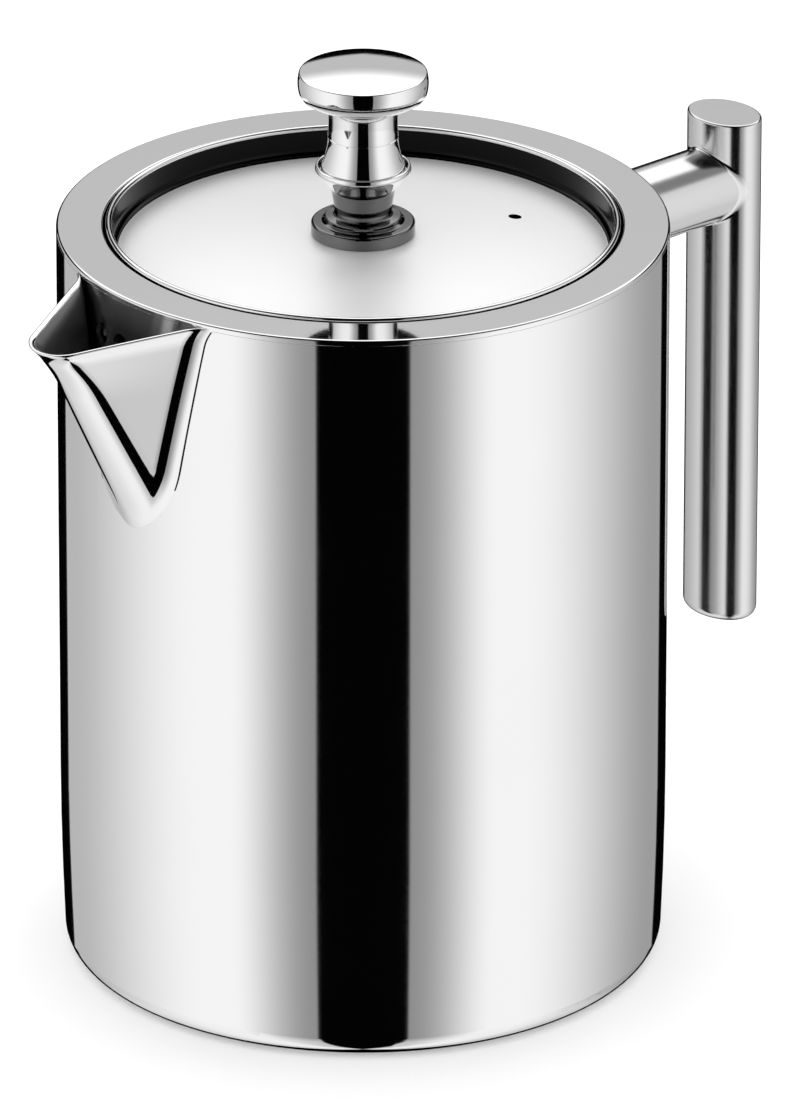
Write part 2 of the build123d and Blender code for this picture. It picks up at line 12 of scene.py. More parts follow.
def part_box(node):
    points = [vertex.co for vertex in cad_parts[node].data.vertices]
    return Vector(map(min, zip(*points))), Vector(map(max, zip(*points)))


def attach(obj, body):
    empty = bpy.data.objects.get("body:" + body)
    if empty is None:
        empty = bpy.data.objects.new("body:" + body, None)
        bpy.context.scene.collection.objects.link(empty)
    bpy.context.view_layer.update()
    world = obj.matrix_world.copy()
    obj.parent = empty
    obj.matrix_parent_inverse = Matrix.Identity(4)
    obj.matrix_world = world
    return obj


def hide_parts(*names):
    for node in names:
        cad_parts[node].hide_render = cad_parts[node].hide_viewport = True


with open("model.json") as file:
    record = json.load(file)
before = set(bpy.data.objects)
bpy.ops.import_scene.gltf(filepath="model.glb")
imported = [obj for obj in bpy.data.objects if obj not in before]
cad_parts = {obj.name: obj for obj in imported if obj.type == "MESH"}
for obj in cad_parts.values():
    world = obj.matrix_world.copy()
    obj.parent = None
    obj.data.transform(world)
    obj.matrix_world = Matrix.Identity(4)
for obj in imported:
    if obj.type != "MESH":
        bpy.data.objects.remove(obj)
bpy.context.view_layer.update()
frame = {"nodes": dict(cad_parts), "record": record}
scene = bpy.context.scene
MM = 0.001

# ---- Sizes of the press, in millimetres, as in the CAD model -------------------------------------
BODY_R = 60.0
RIM_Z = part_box("rim_ring")[1].z / MM
NECK_R = 51.1
LID_R = 50.2
LID_T = 0.9
LID_BEAD_R = 0.6
LID_SEAM_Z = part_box("lid_cover")[0].z / MM
LID_FLAT_R = 10.0      # the lid's face is flat under the bush
LID_FLAT_Z = RIM_Z - 2.1
LID_WELL_Z = RIM_Z - 5.7
BUSH_STEM_R = 4.0
GRIP_LOW, GRIP_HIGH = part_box("grip_end_cap")[0] / MM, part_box("grip_top_cap")[1] / MM
GRIP_X = (GRIP_LOW.x + GRIP_HIGH.x) / 2
GRIP_HALF_X = (GRIP_HIGH.x - GRIP_LOW.x) / 2
GRIP_HALF_Y = (GRIP_HIGH.y - GRIP_LOW.y) / 2
ARM_R = 7.8
ARM_Z = (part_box("handle_arm")[0].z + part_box("handle_arm")[1].z) / 2 / MM
KNOB_BORE_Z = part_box("plunger_rod")[1].z / MM
ROD_R = 2.5


def add_object(name, data):
    thing = bpy.data.objects.new(name, data)
    scene.collection.objects.link(thing)
    return thing


def new_material(name):
    material = bpy.data.materials.new(name)
    material.use_nodes = True
    return material, material.node_tree.nodes, material.node_tree.links


# ---- Camera --------------------------------------------------------------------------------------
VIEW_AZIMUTH = radians(-41.6)
VIEW_ELEVATION = radians(23.7)
VIEW_DISTANCE = 3.0
LENS_MM = 498.5
SENSOR_MM = 36
SHIFT_X = 0.0336
SHIFT_Y = 0.0290
AIM_Z = 0.0765

# unit vectors from the press towards the camera, and to the camera's right, both level
TO_CAMERA = Vector((sin(VIEW_AZIMUTH), -cos(VIEW_AZIMUTH), 0))
TO_RIGHT = Vector((cos(VIEW_AZIMUTH), sin(VIEW_AZIMUTH), 0))


def add_camera():
    data = bpy.data.cameras.new("camera")
    data.lens = LENS_MM
    data.sensor_width = SENSOR_MM
    data.shift_x = SHIFT_X
    data.shift_y = SHIFT_Y
    data.clip_end = 50
    camera = add_object("camera", data)
    back = TO_CAMERA * cos(VIEW_ELEVATION) + Vector((0, 0, sin(VIEW_ELEVATION)))
    camera.location = Vector((0, 0, AIM_Z)) + back * VIEW_DISTANCE
    camera.rotation_euler = (pi / 2 - VIEW_ELEVATION, 0, VIEW_AZIMUTH)
    scene.camera = camera


# ---- Light ---------------------------------------------------------------------------------------
TENT_R = 6.0           # metres
TENT_STEP = 1.0        # degrees
STEEL_REFLECTS = 0.90

# greys of the tent's cards, as polished steel shows them
PANEL_FRONT = 0.55
PANEL_MIDDLE = 0.95
PANEL_BACK_LEFT = 0.70
PANEL_BACK_RIGHT = 0.60
PANEL_FOOT = 0.92
ROOF_FRONT = 0.015
ROOF_SIDE = 0.50
BACKDROP = 0.73
SOFT_BOX = 1.09        # brighter than white, to fill the satin lid

# top edge of the black flag behind the press, in degrees: lowest in the middle
FLAG_DIP = 11.0
FLAG_SLOPE = 0.8
FLAG_TOP = 29.0

WORLD_STRENGTH = 1.35
FLOOR_HALF = 20        # metres
FLOOR_GREY = 0.97


def ramp(x, low, high):
    """0 below low, 1 above high, smooth between."""
    t = min(1.0, max(0.0, (x - low) / (high - low)))
    return t * t * (3 - 2 * t)


def mix(a, b, t):
    return a + (b - a) * t


def light_for(shade):
    """Light that polished steel shows as this grey, 0 black to 1 white."""
    return ((shade + 0.055) / 1.055) ** 2.4 / STEEL_REFLECTS


def tent_shade(turn, rise):
    """Grey of the tent in a direction: turn in degrees from the camera's side, rise above level."""
    away = abs(turn)
    # side panels: a gap at the camera, brightest at 52 to 62 degrees, dim again towards the back
    panel_back = PANEL_BACK_RIGHT if turn > 0 else PANEL_BACK_LEFT
    bright = mix(mix(PANEL_FRONT, PANEL_MIDDLE, ramp(away, 16, 52)), panel_back, ramp(away, 62, 146))
    bright = mix(bright, PANEL_FOOT, 0.55 * ramp(-rise, 34, 48))
    panel = bright * ramp(away, 16.6, 18.0) * (1 - ramp(away, 151, 152.5))
    # behind the press: the black flag, the backdrop over its edge, then the soft box over both
    flag_edge = min(FLAG_DIP + FLAG_SLOPE * (180 - away), FLAG_TOP)
    backdrop = mix(0.0, BACKDROP, ramp(rise, flag_edge - 0.8, flag_edge + 0.8))
    behind = mix(backdrop, SOFT_BOX, ramp(rise, 23, 33))
    # over the camera nearly nothing is lit, and the tops of the sides are dim
    roof = mix(ROOF_FRONT, ROOF_SIDE, ramp(away, 40, 90))
    front = mix(panel, roof, ramp(rise, 30, 38))
    over_back = mix(panel, behind, ramp(rise, 6, 9))
    return mix(front, over_back, ramp(away, 114, 132))


def tent_light():
    """Light as strong as the glow value of each point."""
    material, nodes, links = new_material("tent_light")
    nodes.clear()
    out = nodes.new("ShaderNodeOutputMaterial")
    glow = nodes.new("ShaderNodeEmission")
    value = nodes.new("ShaderNodeAttribute")
    value.attribute_name = "glow"
    links.new(value.outputs["Fac"], glow.inputs["Color"])
    links.new(glow.outputs[0], out.inputs["Surface"])
    material.cycles.emission_sampling = "NONE"
    return material


def add_tent():
    """A sphere of light cards that only mirrors see."""
    turns = int(360 / TENT_STEP)
    rises = int(180 / TENT_STEP)
    points = []
    values = []
    for j in range(rises + 1):
        rise = -90 + j * TENT_STEP
        for i in range(turns):
            turn = -180 + i * TENT_STEP
            level = TO_CAMERA * cos(radians(turn)) + TO_RIGHT * sin(radians(turn))
            way = level * cos(radians(rise)) + Vector((0, 0, sin(radians(rise))))
            points.append(way * TENT_R)
            values.append(light_for(tent_shade(turn, rise)))
    mesh = bpy.data.meshes.new("light_tent")
    mesh.from_pydata(points, [], grid_faces(rises + 1, turns, False, True))
    layer = mesh.attributes.new("glow", "FLOAT", "POINT")
    layer.data.foreach_set("value", values)
    mesh.materials.append(tent_light())
    tent = add_object("light_tent", mesh)
    tent.visible_camera = False
    tent.visible_diffuse = False
    tent.visible_shadow = False
    tent.visible_transmission = False


def add_world():
    world = bpy.data.worlds.new("studio")
    scene.world = world
    world.use_nodes = True
    background = world.node_tree.nodes["Background"]
    background.inputs["Color"].default_value = (1, 1, 1, 1)
    background.inputs["Strength"].default_value = WORLD_STRENGTH


def add_floor():
    """A pale matt floor that the steel doesn't mirror."""
    material, nodes, _ = new_material("floor")
    shader = nodes["Principled BSDF"]
    shader.inputs["Base Color"].default_value = (FLOOR_GREY, FLOOR_GREY, FLOOR_GREY, 1)
    shader.inputs["Roughness"].default_value = 1.0
    shader.inputs["Specular IOR Level"].default_value = 0.0
    corners = [(-FLOOR_HALF, -FLOOR_HALF, 0), (FLOOR_HALF, -FLOOR_HALF, 0),
               (FLOOR_HALF, FLOOR_HALF, 0), (-FLOOR_HALF, FLOOR_HALF, 0)]
    mesh = bpy.data.meshes.new("floor")
    mesh.from_pydata(corners, [], [(0, 1, 2, 3)])
    mesh.materials.append(material)
    floor = add_object("floor", mesh)
    floor.visible_glossy = False


# ---- Materials -----------------------------------------------------------------------------------
CLOUD_SCALE = 35.0
TINT_SPREAD = 0.015
GRAIN_DEPTH = 0.00002  # metres


def steel(name, colour, roughness, spread,
          grain=(1, 1, 1), bump=0.0, bump_scale=1500.0, metallic=1.0):
    """Steel whose tint and polish vary.

    A slow cloud shifts the tint, and together with a fine noise, stretched by grain, it moves the
    roughness to both sides by spread. The fine noise also raises the surface by bump.
    """
    material, nodes, links = new_material(name)
    shader = nodes["Principled BSDF"]
    shader.inputs["Metallic"].default_value = metallic
    place = nodes.new("ShaderNodeTexCoord")
    cloud = nodes.new("ShaderNodeTexNoise")
    cloud.inputs["Scale"].default_value = CLOUD_SCALE
    cloud.inputs["Detail"].default_value = 4.0
    links.new(place.outputs["Object"], cloud.inputs["Vector"])
    tint = nodes.new("ShaderNodeMapRange")
    tint.inputs["To Min"].default_value = 1 - TINT_SPREAD
    tint.inputs["To Max"].default_value = 1 + TINT_SPREAD
    links.new(cloud.outputs["Fac"], tint.inputs["Value"])
    shade = nodes.new("ShaderNodeVectorMath")
    shade.operation = "SCALE"
    shade.inputs[0].default_value = colour
    links.new(tint.outputs["Result"], shade.inputs["Scale"])
    links.new(shade.outputs["Vector"], shader.inputs["Base Color"])
    stretch = nodes.new("ShaderNodeMapping")
    stretch.inputs["Scale"].default_value = grain
    links.new(place.outputs["Object"], stretch.inputs["Vector"])
    fine = nodes.new("ShaderNodeTexNoise")
    fine.inputs["Scale"].default_value = bump_scale
    fine.inputs["Detail"].default_value = 3.0
    links.new(stretch.outputs["Vector"], fine.inputs["Vector"])
    both = nodes.new("ShaderNodeMath")
    both.operation = "MULTIPLY"
    links.new(cloud.outputs["Fac"], both.inputs[0])
    links.new(fine.outputs["Fac"], both.inputs[1])
    polish = nodes.new("ShaderNodeMapRange")
    polish.inputs["From Min"].default_value = 0.10
    polish.inputs["From Max"].default_value = 0.40
    polish.inputs["To Min"].default_value = roughness - spread
    polish.inputs["To Max"].default_value = roughness + spread
    links.new(both.outputs[0], polish.inputs["Value"])
    links.new(polish.outputs["Result"], shader.inputs["Roughness"])
    if bump:
        relief = nodes.new("ShaderNodeBump")
        relief.inputs["Strength"].default_value = bump
        relief.inputs["Distance"].default_value = GRAIN_DEPTH
        links.new(fine.outputs["Fac"], relief.inputs["Height"])
        links.new(relief.outputs["Normal"], shader.inputs["Normal"])
    return material


def woven_steel():
    """Wire cloth: two crossed waves raise the wires, and the gaps between them are painted near black as
    painted shade.
    """
    material = steel("woven_steel", (0.62, 0.62, 0.61), 0.35, 0.05)
    nodes = material.node_tree.nodes
    links = material.node_tree.links
    shader = nodes["Principled BSDF"]
    place = nodes.new("ShaderNodeTexCoord")
    heights = []
    for direction in ("X", "Y"):
        wave = nodes.new("ShaderNodeTexWave")
        wave.bands_direction = direction
        wave.inputs["Scale"].default_value = 620.0
        links.new(place.outputs["Object"], wave.inputs["Vector"])
        heights.append(wave.outputs["Fac"])
    top = nodes.new("ShaderNodeMath")
    top.operation = "MAXIMUM"
    links.new(heights[0], top.inputs[0])
    links.new(heights[1], top.inputs[1])
    # the low gaps between the wires are painted near black: painted shade
    colour = nodes.new("ShaderNodeMapRange")
    colour.inputs["From Min"].default_value = 0.3
    colour.inputs["To Min"].default_value = 0.04
    colour.inputs["To Max"].default_value = 0.66
    links.new(top.outputs[0], colour.inputs["Value"])
    links.new(colour.outputs["Result"], shader.inputs["Base Color"])
    relief = nodes.new("ShaderNodeBump")
    relief.inputs["Distance"].default_value = 0.0001
    links.new(top.outputs[0], relief.inputs["Height"])
    links.new(relief.outputs["Normal"], shader.inputs["Normal"])
    return material


MATERIALS = {
    "polished_steel": steel("polished_steel", (0.91, 0.91, 0.91), 0.045, 0.015),
    "rod_steel": steel("rod_steel", (0.88, 0.88, 0.88), 0.10, 0.03, (1, 1, 0.05), 0.15),
    "handle_steel": steel("handle_steel", (0.78, 0.78, 0.78), 0.165, 0.03, (1, 1, 0.03), 0.10),
    # the bush's dark steel is painted shade, for the flange and the waist
    "bush_painted_shade": steel("bush_painted_shade", (0.20, 0.20, 0.20), 0.06, 0.02),
    "lid_face_steel": steel("lid_face_steel", (0.90, 0.90, 0.90), 0.42, 0.02, metallic=0.62),
    # near-black steel: painted shade and dark reflection for the lid's well, and the spout's dark joint
    # line
    "painted_shade_and_dark_joint": steel("painted_shade_and_dark_joint", (0.012, 0.012, 0.012), 0.12, 0.02),
    # the spout's inside is painted darker than the outside: painted shade
    "spout_inside_painted_shade": steel("spout_inside_painted_shade", (0.30, 0.30, 0.30), 0.38, 0.05, bump=0.3),
    "satin_steel": steel("satin_steel", (0.72, 0.72, 0.71), 0.30, 0.06, (1, 1, 0.04), 0.5),
    "stamped_steel": steel("stamped_steel", (0.74, 0.74, 0.73), 0.24, 0.06, bump=0.4),
    "woven_steel": woven_steel(),
    "spring_wire": steel("spring_wire", (0.70, 0.70, 0.70), 0.16, 0.04, bump=0.2),
    "weld_steel": steel("weld_steel", (0.80, 0.80, 0.80), 0.12, 0.05, bump=0.6, bump_scale=700.0),
}


def give_cad_nodes_their_steel():
    slots = {part["node"]: part["material_slot"] for part in frame["record"]["subparts"]}
    for name, node in frame["nodes"].items():
        look = "rod_steel" if name == "plunger_rod" else slots[name]
        node.data.materials.clear()
        node.data.materials.append(MATERIALS[look])


# ---- Mesh helpers --------------------------------------------------------------------------------
JOIN_WITHIN = 2e-6     # metres
TURN_STEPS = 256


def arc(start, through, end, step_deg=5):
    """Points on the circle arc from start to end by way of a third point, the start left out."""
    (ax, ay), (bx, by), (cx, cy) = start, through, end
    d = 2 * (ax * (by - cy) + bx * (cy - ay) + cx * (ay - by))
    ux = ((ax**2 + ay**2) * (by - cy) + (bx**2 + by**2) * (cy - ay) + (cx**2 + cy**2) * (ay - by)) / d
    uy = ((ax**2 + ay**2) * (cx - bx) + (bx**2 + by**2) * (ax - cx) + (cx**2 + cy**2) * (bx - ax)) / d
    radius = hypot(ax - ux, ay - uy)
    first = atan2(ay - uy, ax - ux)
    middle = (atan2(by - uy, bx - ux) - first) % (2 * pi)
    last = (atan2(cy - uy, cx - ux) - first) % (2 * pi)
    if middle > last:
        last -= 2 * pi
    steps = max(3, ceil(degrees(abs(last)) / step_deg))
    turns = [first + last * i / steps for i in range(1, steps + 1)]
    return [(ux + radius * cos(t), uy + radius * sin(t)) for t in turns]


def rounded(corners, step_deg=9):
    """A closed outline through corners (r, z, rounding radius); a radius of 0 keeps the corner sharp."""
    outline = []
    count = len(corners)
    for i, (x, y, radius) in enumerate(corners):
        if not radius:
            outline.append((x, y))
            continue
        corner = Vector((x, y))
        before = Vector(corners[i - 1][:2]) - corner
        after = Vector(corners[(i + 1) % count][:2]) - corner
        half = before.angle(after) / 2
        run = radius / (sin(half) / cos(half))
        bisector = (before.normalized() + after.normalized()).normalized()
        start = corner + before.normalized() * run
        end = corner + after.normalized() * run
        middle = corner + bisector * (radius / sin(half) - radius)
        outline.append(tuple(start))
        outline.extend(arc(tuple(start), tuple(middle), tuple(end), step_deg))
    return outline


def circle(steps):
    """Cosine and sine of evenly spaced turns round a circle."""
    turns = [2 * pi * i / steps for i in range(steps)]
    return [(cos(t), sin(t)) for t in turns]


def grid_faces(rows, columns, close_rows, close_columns):
    """Quads over a grid of points stored row by row."""
    faces = []
    for j in range(rows if close_rows else rows - 1):
        low = j * columns
        high = ((j + 1) % rows) * columns
        for i in range(columns if close_columns else columns - 1):
            k = (i + 1) % columns
            faces.append((low + i, low + k, high + k, high + i))
    return faces


def capped_faces(rows, columns):
    """Faces over a stack of closed rings, with a flat cap on each end."""
    caps = [tuple(range(columns)), tuple(range((rows - 1) * columns, rows * columns))]
    return grid_faces(rows, columns, False, True) + caps


def face_outwards(mesh):
    """Joins points that meet, and turns all faces outwards."""
    build = bmesh.new()
    build.from_mesh(mesh)
    bmesh.ops.remove_doubles(build, verts=build.verts, dist=JOIN_WITHIN)
    bmesh.ops.recalc_face_normals(build, faces=build.faces)
    build.to_mesh(mesh)
    build.free()


def finish_mesh(name, points, faces, body, nodes, look, sharp_deg=35):
    """Makes a piece from points in millimetres: smooth, with sharp edges kept sharp and flats kept flat."""
    mesh = bpy.data.meshes.new(name)
    mesh.from_pydata([Vector(p) * MM for p in points], [], faces)
    face_outwards(mesh)
    mesh.shade_smooth()
    mesh.set_sharp_from_angle(angle=radians(sharp_deg))
    mesh.materials.append(MATERIALS[look])
    piece = add_object(name, mesh)
    weighted = piece.modifiers.new("even_normals", "WEIGHTED_NORMAL")
    weighted.keep_sharp = True
    weighted.weight = 50
    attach(piece, body)
    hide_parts(*nodes)
    return piece


def turned(name, outline, body, nodes):
    """A polished piece turned about the pot's axis from a closed outline of (radius, height)."""
    ring = circle(TURN_STEPS)
    points = [(radius * x, radius * y, height) for radius, height in outline for x, y in ring]
    # the stretch of the outline along the axis makes no faces
    on_axis = [radius < 1e-6 for radius, _ in outline]
    faces = [face for face in grid_faces(len(outline), TURN_STEPS, True, True)
             if not all(on_axis[corner // TURN_STEPS] for corner in face)]
    return finish_mesh(name, points, faces, body, nodes, "polished_steel")


# ---- Rim -----------------------------------------------------------------------------------------
def add_rim():
    """A flat ring on the pot's wall, with a lip that hangs into the neck."""
    ring_foot_z = RIM_Z - 1.2
    lip_foot_z = RIM_Z - 3.0
    lip_r = NECK_R - 0.3
    lip_back_r = NECK_R + 0.8
    outline = rounded([
        (BODY_R, ring_foot_z, 0.12), (BODY_R, RIM_Z, 0.55), (lip_r, RIM_Z, 0.5),
        (lip_r, lip_foot_z, 0), (lip_back_r, lip_foot_z, 0), (lip_back_r, ring_foot_z, 0)], 5)
    turned("rim_ring_turned", outline, "pot", ["rim_ring"])


# ---- Lid -----------------------------------------------------------------------------------------
def lid_face_z(radius):
    """Height of the lid's face: flat in the middle, then a crown that falls towards the well."""
    crown = (LID_FLAT_Z - LID_WELL_Z) / ((LID_R - LID_T)**2 - LID_FLAT_R**2)
    return LID_FLAT_Z - crown * max(0.0, radius**2 - LID_FLAT_R**2)


def add_lid():
    """The cover: a crowned face, the well's wall round it, and a bead over the rim."""
    well_r = LID_R - LID_T
    skirt_r = LID_R - 0.8
    well_round = 1.5
    bead_z = RIM_Z - sqrt(LID_BEAD_R**2 - (LID_T / 2)**2)
    face_edge = well_r - well_round
    steps = 26
    radii = [BUSH_STEM_R, 7.0, LID_FLAT_R]
    radii += [face_edge - (face_edge - LID_FLAT_R) * (1 - i / steps) for i in range(1, steps + 1)]
    outline = [(r, lid_face_z(r)) for r in radii]
    well_foot = (well_r, lid_face_z(face_edge) + well_round)
    turn_middle = (well_r - well_round * (1 - sqrt(0.5)), well_foot[1] - well_round * sqrt(0.5))
    outline += arc(outline[-1], turn_middle, well_foot, 6)
    outline.append((well_r, bead_z))
    outline += arc((well_r, bead_z), (LID_R - LID_T / 2, RIM_Z + LID_BEAD_R), (LID_R, bead_z), 12)
    outline += [(LID_R, LID_SEAM_Z), (skirt_r, LID_SEAM_Z)]
    under_radii = [skirt_r, 46.0, 40.0, 30.0, 20.0, LID_FLAT_R, BUSH_STEM_R]
    outline += [(r, lid_face_z(r) - LID_T) for r in under_radii]
    lid = turned("lid_cover_pan", outline, "lid", ["lid_cover"])
    # the face is satin, the well's wall and most of the underside are painted near black as painted shade
    # and dark reflection, and the bead is polished
    lid.data.materials.append(MATERIALS["lid_face_steel"])
    lid.data.materials.append(MATERIALS["painted_shade_and_dark_joint"])
    for polygon in lid.data.polygons:
        centre = polygon.center / MM
        radius = hypot(centre.x, centre.y)
        if radius < face_edge + 0.1 and centre.z > lid_face_z(radius) - LID_T / 2:
            polygon.material_index = 1
        elif radius < well_r + 0.02 and RIM_Z - 6 < centre.z < bead_z:
            polygon.material_index = 2
    cut_vent(lid)


def cut_vent(lid):
    """Drills the steam vent where the CAD cover has it, with a bevelled mouth."""
    from_axis = 31.9
    turn = radians(-20.6)
    vent_r = 1.3
    mouth_r = vent_r + 0.35
    steps = 40
    points = []
    for radius, over_rim in ((mouth_r, 2.0), (mouth_r, -3.05), (vent_r, -3.4), (vent_r, -9.0)):
        for x, y in circle(steps):
            across = from_axis * cos(turn) + radius * x
            along = from_axis * sin(turn) + radius * y
            points.append(Vector((across, along, RIM_Z + over_rim)) * MM)
    mesh = bpy.data.meshes.new("vent_drill")
    mesh.from_pydata(points, [], capped_faces(4, steps))
    face_outwards(mesh)
    drill = add_object("vent_drill", mesh)
    cut = lid.modifiers.new("vent", "BOOLEAN")
    cut.operation = "DIFFERENCE"
    cut.solver = "EXACT"
    cut.object = drill
    lid.modifiers.move(1, 0)
    bpy.context.view_layer.update()
    cut_mesh = bpy.data.meshes.new_from_object(lid.evaluated_get(bpy.context.evaluated_depsgraph_get()))
    lid.modifiers.remove(cut)
    lid.data = cut_mesh
    bpy.data.objects.remove(drill)


def add_bush():
    """Flange, step, waist and dished ring, turned in one piece, on a stem through the lid."""
    bore_r = ROD_R + 0.08
    flange_r = 10.2
    dish_r = 8.75
    foot_z = RIM_Z - 7.5
    step_z = RIM_Z + 0.6
    dish_z = RIM_Z + 11.3
    ring_z = RIM_Z + 12.2
    outline = rounded([
        (bore_r, foot_z, 0), (BUSH_STEM_R, foot_z, 0.3), (BUSH_STEM_R, LID_FLAT_Z, 0),
        (flange_r, LID_FLAT_Z, 0.15), (flange_r, step_z, 0.6), (8.1, step_z, 0.3),
        (7.6, RIM_Z + 1.0, 0.15), (7.5, RIM_Z + 1.7, 0.3), (5.6, RIM_Z + 1.9, 0.35),
        (5.6, RIM_Z + 3.0, 1.5), (6.3, RIM_Z + 7.4, 2.5), (8.9, RIM_Z + 10.6, 0.3),
        (9.45, dish_z, 0.4), (9.25, ring_z, 0.25), (dish_r, ring_z, 0.15),
        (dish_r, dish_z, 0), (bore_r, dish_z, 0)])
    bush = turned("guide_bush_turned", outline, "lid", ["guide_bush"])
    # the flange and the waist are painted darker than the ring: painted shade
    painted_shade_below = RIM_Z + 8.5
    bush.data.materials.append(MATERIALS["bush_painted_shade"])
    for polygon in bush.data.polygons:
        if polygon.center.z / MM < painted_shade_below:
            polygon.material_index = 1


# ---- Knob ----------------------------------------------------------------------------------------
def add_knob():
    """A waisted neck with a crease round it, under a thick disc with a crowned top."""
    foot_z = RIM_Z + 11.6
    crease_z = RIM_Z + 18.4
    disc_z = RIM_Z + 26.2
    top_z = RIM_Z + 31.6
    crown = 1.0
    top_r = 12.3
    ball_r = (top_r**2 + crown**2) / (2 * crown)
    steps = 20
    outline = [(0.0, KNOB_BORE_Z), (ROD_R, KNOB_BORE_Z), (ROD_R, foot_z), (8.05, foot_z)]
    outline += arc((8.05, foot_z), (8.25, foot_z + 0.07), (8.3, foot_z + 0.3), 15)
    outline += arc((8.3, foot_z + 0.3), (7.22, foot_z + 4.0), (6.93, crease_z - 0.12), 2)
    # a fine groove where the neck is jointed
    outline += [(6.75, crease_z), (6.9, crease_z + 0.12)]
    outline += arc((6.9, crease_z + 0.12), (6.78, crease_z + 4.0), (7.02, disc_z - 0.3), 2)
    outline += arc((7.02, disc_z - 0.3), (7.12, disc_z - 0.09), (7.3, disc_z), 15)
    outline.append((10.7, disc_z))
    outline += arc((10.7, disc_z), (11.95, disc_z + 0.45), (12.6, disc_z + 1.5), 5)
    outline += arc((12.6, disc_z + 1.5), (12.8, disc_z + 3.2), (12.58, top_z - 0.35), 3)
    outline += arc((12.58, top_z - 0.35), (12.5, top_z - 0.1), (top_r, top_z), 12)
    for i in range(steps - 1, -1, -1):
        radius = top_r * i / steps
        outline.append((radius, top_z + crown - ball_r + sqrt(ball_r**2 - radius**2)))
    turned("knob_turned", outline, "rod", ["knob"])


# ---- Handle --------------------------------------------------------------------------------------
GRIP_STEPS = 160
ARM_STEPS = 128


def oval_piece(name, levels, nodes):
    """A closed oval prism from levels of (inset, height), a ring for each, ending in flat caps."""
    points = []
    for inset, height in levels:
        for x, y in circle(GRIP_STEPS):
            points.append((GRIP_X + (GRIP_HALF_X - inset) * x, (GRIP_HALF_Y - inset) * y, height))
    faces = capped_faces(len(levels), GRIP_STEPS)
    finish_mesh(name, points, faces, "pot", nodes, "handle_steel")


def edge_levels(radius, height, up, steps=8):
    """Levels of a rounded edge, from the side to the flat end."""
    turns = [pi / 2 * i / steps for i in range(steps + 1)]
    return [(radius * (1 - cos(t)), height + up * radius * (sin(t) - 1)) for t in turns]


def add_grip():
    """The oval tube with a disc let into its top and a rounded plug at its foot."""
    tube_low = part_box("handle_grip")[0].z / MM
    tube_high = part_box("handle_grip")[1].z / MM
    seam = 0.01        # a hairline bevel on both sides of each joint
    top_round = 0.5
    foot_round = 2.2
    tube = [(seam, tube_low), (0, tube_low + seam), (0, tube_high - seam), (seam, tube_high)]
    disc = [(seam, tube_high), (0, tube_high + seam)] + edge_levels(top_round, GRIP_HIGH.z, 1)
    plug = [(seam, tube_low), (0, tube_low - seam)] + edge_levels(foot_round, GRIP_LOW.z, -1, 12)
    oval_piece("handle_grip_tube", tube, ["handle_grip"])
    oval_piece("grip_top_disc", disc, ["grip_top_cap"])
    oval_piece("grip_end_plug", plug[::-1], ["grip_end_cap"])


def arm_ring(radius, side, gap):
    """Points round the arm at a radius, at a level distance from the pot's wall or from the grip."""
    if side == "grip":
        radius = min(radius, GRIP_HALF_Y - 0.01)
    points = []
    for across, up in circle(ARM_STEPS):
        y = radius * across
        if side == "pot":
            x = sqrt(BODY_R**2 - y**2) + gap
        else:
            x = GRIP_X - GRIP_HALF_X * sqrt(1 - (y / GRIP_HALF_Y)**2) - gap
        points.append((x, y, ARM_Z + radius * up))
    return points


def arm_piece(name, rings, nodes, look):
    """A closed piece round the arm, from a radius, a side and a gap for each ring."""
    points = [point for ring in rings for point in arm_ring(*ring)]
    faces = grid_faces(len(rings), ARM_STEPS, True, True)
    finish_mesh(name, points, faces, "pot", nodes, look)


def add_arm():
    """The round tube from the pot's wall to the grip, its ends cut to fit both."""
    bore_r = ARM_R - 1.5
    sunk = -0.02
    collar = 1.0
    rings = [(ARM_R, "pot", sunk), (ARM_R, "pot", collar), (ARM_R, "grip", collar), (ARM_R, "grip", sunk),
             (bore_r, "grip", sunk), (bore_r, "pot", sunk)]
    arm_piece("handle_arm_tube", rings, ["handle_arm"], "handle_steel")


def add_weld(name, node, side, width):
    """A hollow bead in the corner round one end of the arm."""
    foot_r = ARM_R - 0.15
    sunk = -0.1
    steps = 12
    turns = [pi / 2 * i / steps for i in range(steps + 1)]
    rings = [(ARM_R + width * (1 - sin(t)), side, width * (1 - cos(t))) for t in turns]
    rings += [(foot_r, side, width), (foot_r, side, sunk), (ARM_R + width, side, sunk)]
    arm_piece(name, rings, [node], "weld_steel")


# ---- Spout ---------------------------------------------------------------------------------------
SPOUT_TOP_Z = RIM_Z - 0.8
SPOUT_TOP_DIP = 3.3    # the tip's top edge lies this much lower
SPOUT_APEX_Z = RIM_Z - 46.2
SPOUT_TIP_R = 83.0
SPOUT_BLEND = 0.8      # how softly the tip's slope runs out into the wall at the apex
SPOUT_LIP = 0.9        # the lip turns out this much at the tip
SPOUT_LIP_DEPTH = 4.0
SPOUT_LIP_ROUNDER = 0.8
SPOUT_NOSE_R = 6.8
SPOUT_KEEL_R = 11.0
SPOUT_VEE = radians(26.5)
SPOUT_FLARE = 6.5
SPOUT_SHEET = 1.1
SPOUT_ROOT = 0.25      # the sheet's edges end this deep in the wall
SPOUT_FOOT = 2.6       # below the apex the beak sinks into the wall
SPOUT_SINK = 0.4
SPOUT_LEAST = 1.0      # square of the half width where the section would close up
SPOUT_SEAM_Z = {"plus_y": SPOUT_APEX_Z + 5.5, "minus_y": SPOUT_APEX_Z + 9}


